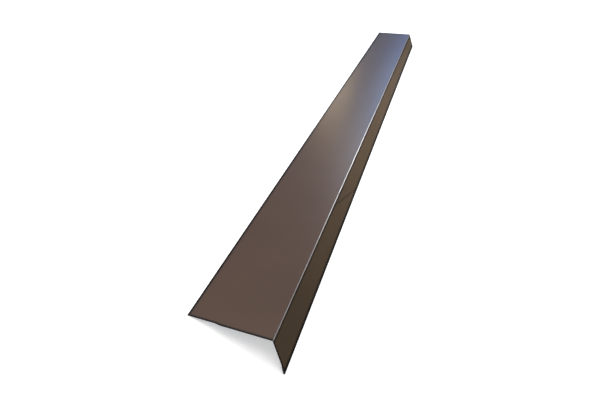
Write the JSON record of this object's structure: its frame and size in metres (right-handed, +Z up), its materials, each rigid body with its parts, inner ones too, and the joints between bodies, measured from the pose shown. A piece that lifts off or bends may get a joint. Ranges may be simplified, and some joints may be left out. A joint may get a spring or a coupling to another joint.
{
  "type": "drip edge flashing",
  "caption": "Long strip of brown coated sheet steel with a wide roof flange, one obtuse bend and a narrow face that ends in a teardrop drip hem.",
  "frame": {"origin": "on the ground under the middle of the strip's bounding box, as it lies like a tent on its rear edge and its hem", "axes": "+X along the length, +Y towards the rear edge of the roof flange, +Z up; the face and its hem are on the -Y side"},
  "size_m": [2, 0.158, 0.0443],
  "materials": {
    "brown_coated_sheet": "satin brown coil coating on galvanised steel sheet"
  },
  "bodies": {
    "root": {"drip_edge_flashing": "brown_coated_sheet"}
  },
  "joints": []
}
